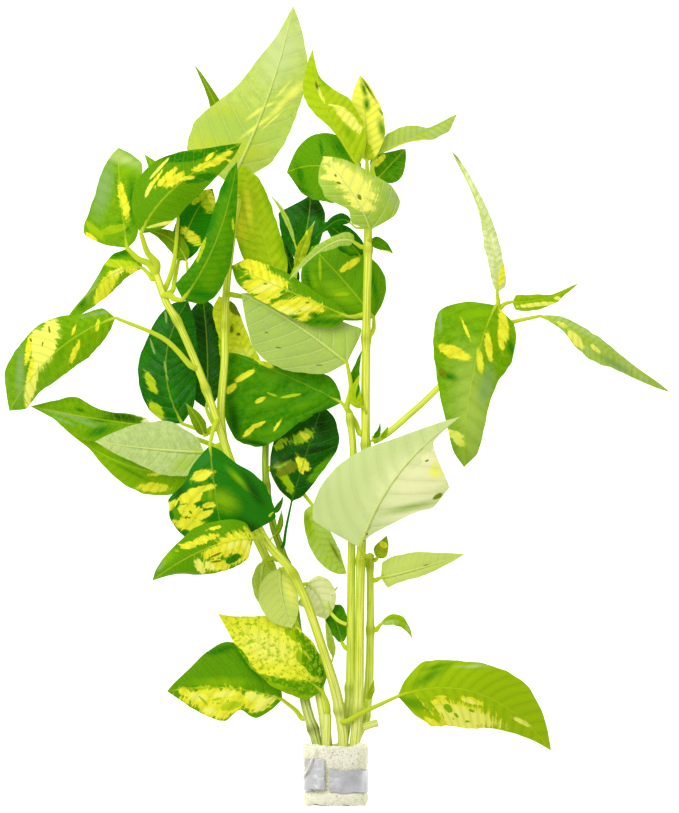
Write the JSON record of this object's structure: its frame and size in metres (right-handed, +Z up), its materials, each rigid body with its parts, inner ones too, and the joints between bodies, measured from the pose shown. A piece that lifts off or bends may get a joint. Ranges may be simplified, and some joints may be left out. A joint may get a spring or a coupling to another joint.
{
  "type": "bunched variegated hygrophila",
  "caption": "Bunch of cut variegated hygrophila stems with yellow-blotched leaves, lying flat; a foam collar wrapped in a soft metal strip holds the cut ends.",
  "frame": {"origin": "on the surface the bunch lies on, below the middle of its bounding box", "axes": "+Y along the stems, from the cut ends in the collar to the shoot tips; +X to the right as seen from above with the tips up; +Z up from the surface"},
  "size_m": [0.2839, 0.3422, 0.0585],
  "materials": {
    "dark_leaf": "satin",
    "green_leaf": "satin",
    "light_leaf": "satin",
    "yellow_leaf": "satin",
    "pale_leaf": "satin",
    "olive_leaf": "satin",
    "green_stem": "satin",
    "olive_stem": "satin",
    "foam": "matte",
    "strip": "satin"
  },
  "bodies": {
    "root": {"foam_collar": "foam", "metal_strip": "strip", "left_stem": "green_stem", "pale_stem": "green_stem", "olive_stem": "olive_stem", "right_stem": "green_stem", "middle_stem": "green_stem", "outer_stem": "green_stem", "short_stem": "green_stem", "side_branch": "green_stem", "left_shoot_front_leaf": "green_leaf", "left_shoot_outer_leaf": "green_leaf", "left_shoot_upright_leaf": "green_leaf", "left_shoot_inner_leaf": "green_leaf", "left_shoot_hidden_leaf": "light_leaf", "left_arching_leaf": "green_leaf", "far_left_leaf": "green_leaf", "left_broad_leaf": "dark_leaf", "left_lower_leaf": "green_leaf", "left_pale_leaf": "pale_leaf", "folded_young_leaf": "olive_leaf", "left_under_leaf": "green_leaf", "top_pale_leaf": "pale_leaf", "top_hidden_leaf": "light_leaf", "middle_upright_leaf": "light_leaf", "dark_glossy_leaf": "dark_leaf", "dark_narrow_leaf": "dark_leaf", "left_low_leaf": "dark_leaf", "yellow_leaf": "yellow_leaf", "dark_shoot_leaf": "dark_leaf", "young_shoot_leaf": "light_leaf", "blotched_leaf": "dark_leaf", "lower_pale_leaf_left": "pale_leaf", "lower_left_back_leaf": "green_leaf", "middle_low_leaf": "green_leaf", "right_shoot_outer_leaf": "light_leaf", "right_shoot_yellow_leaf": "yellow_leaf", "right_shoot_narrow_leaf": "light_leaf", "right_shoot_dark_leaf": "green_leaf", "right_shoot_round_leaf": "green_leaf", "right_shoot_pale_leaf": "pale_leaf", "middle_narrow_leaf": "pale_leaf", "middle_golden_leaf": "yellow_leaf", "middle_broad_leaf": "green_leaf", "middle_dark_leaf": "dark_leaf", "middle_pale_leaf": "pale_leaf", "small_dark_leaf": "dark_leaf", "front_pale_leaf": "pale_leaf", "right_low_leaf": "pale_leaf", "small_olive_leaf": "olive_leaf", "small_curled_leaf": "olive_leaf", "lower_pale_leaf_front": "pale_leaf", "lower_pale_leaf_right": "pale_leaf", "lower_left_front_leaf": "yellow_leaf", "lower_right_leaf": "green_leaf", "branch_broad_leaf": "green_leaf", "branch_narrow_leaf": "light_leaf", "branch_small_leaf": "green_leaf", "branch_far_leaf": "green_leaf"}
  },
  "joints": []
}
